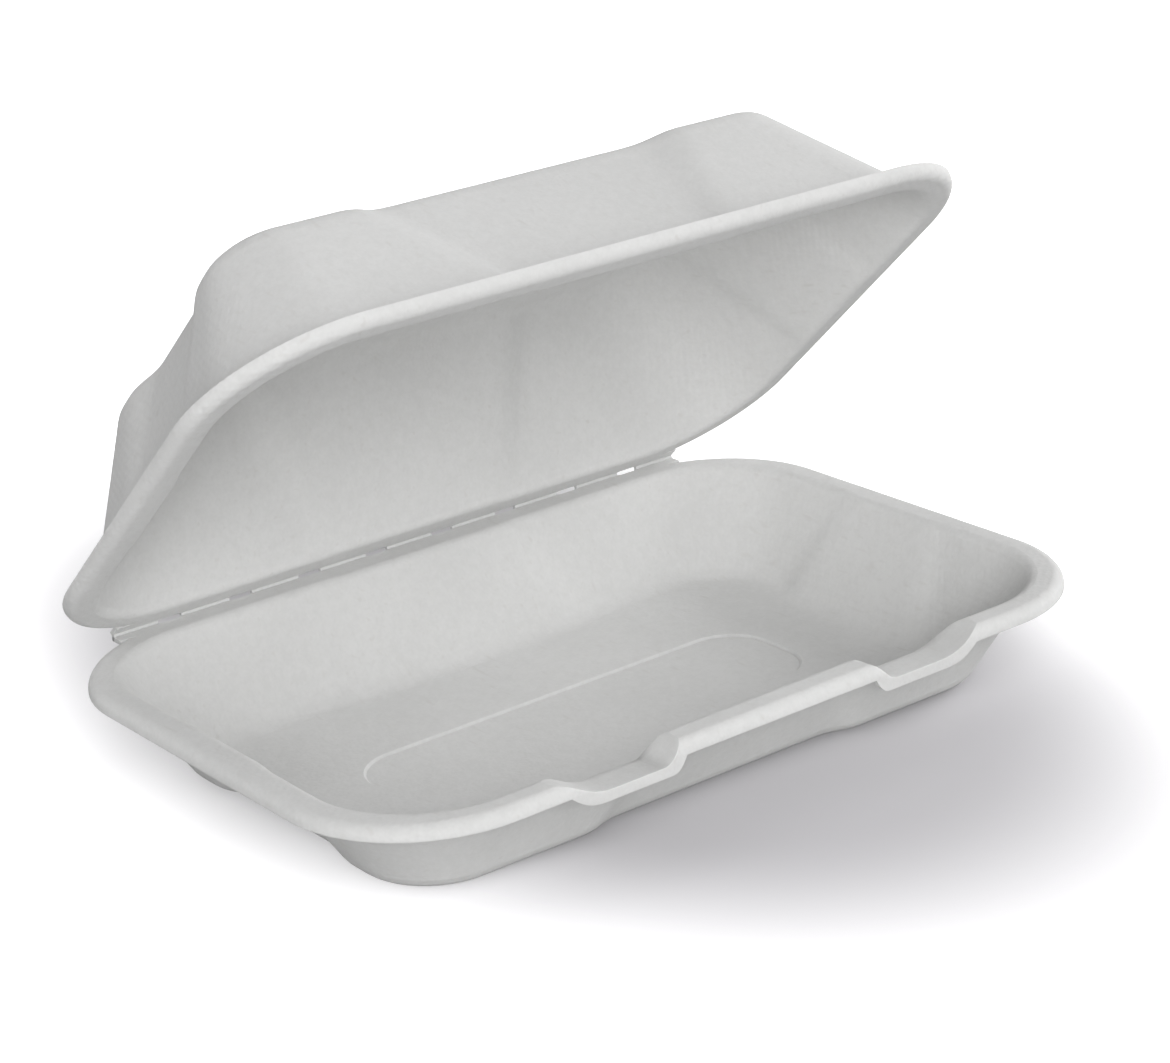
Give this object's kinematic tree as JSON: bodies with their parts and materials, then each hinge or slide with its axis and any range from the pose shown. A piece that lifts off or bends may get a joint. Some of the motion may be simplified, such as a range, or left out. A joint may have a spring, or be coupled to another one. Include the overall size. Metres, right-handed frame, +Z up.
{
  "type": "moulded pulp snack box",
  "caption": "Shallow moulded sugarcane-pulp food box: a tray with flared walls, rolled lip and dips in its front rim, and a deeper hinged lid on a perforated fold.",
  "frame": {"origin": "centre of the face that the tray stands on", "axes": "+X along the fold, +Y towards the fold at the back, +Z up"},
  "size_m": [0.182, 0.1279, 0.1137],
  "materials": {
    "pulp": "matte moulded pulp with a fine fibre grain"
  },
  "bodies": {
    "tray": {"tray": "pulp"},
    "lid": {"lid": "pulp"}
  },
  "joints": [
    {"name": "lid_fold", "type": "hinge", "parent": "tray", "child": "lid", "pos_m": [0, 0.0625, 0.0225], "axis": [-1, 0, 0], "range_deg": [-41.5, 115]}
  ]
}
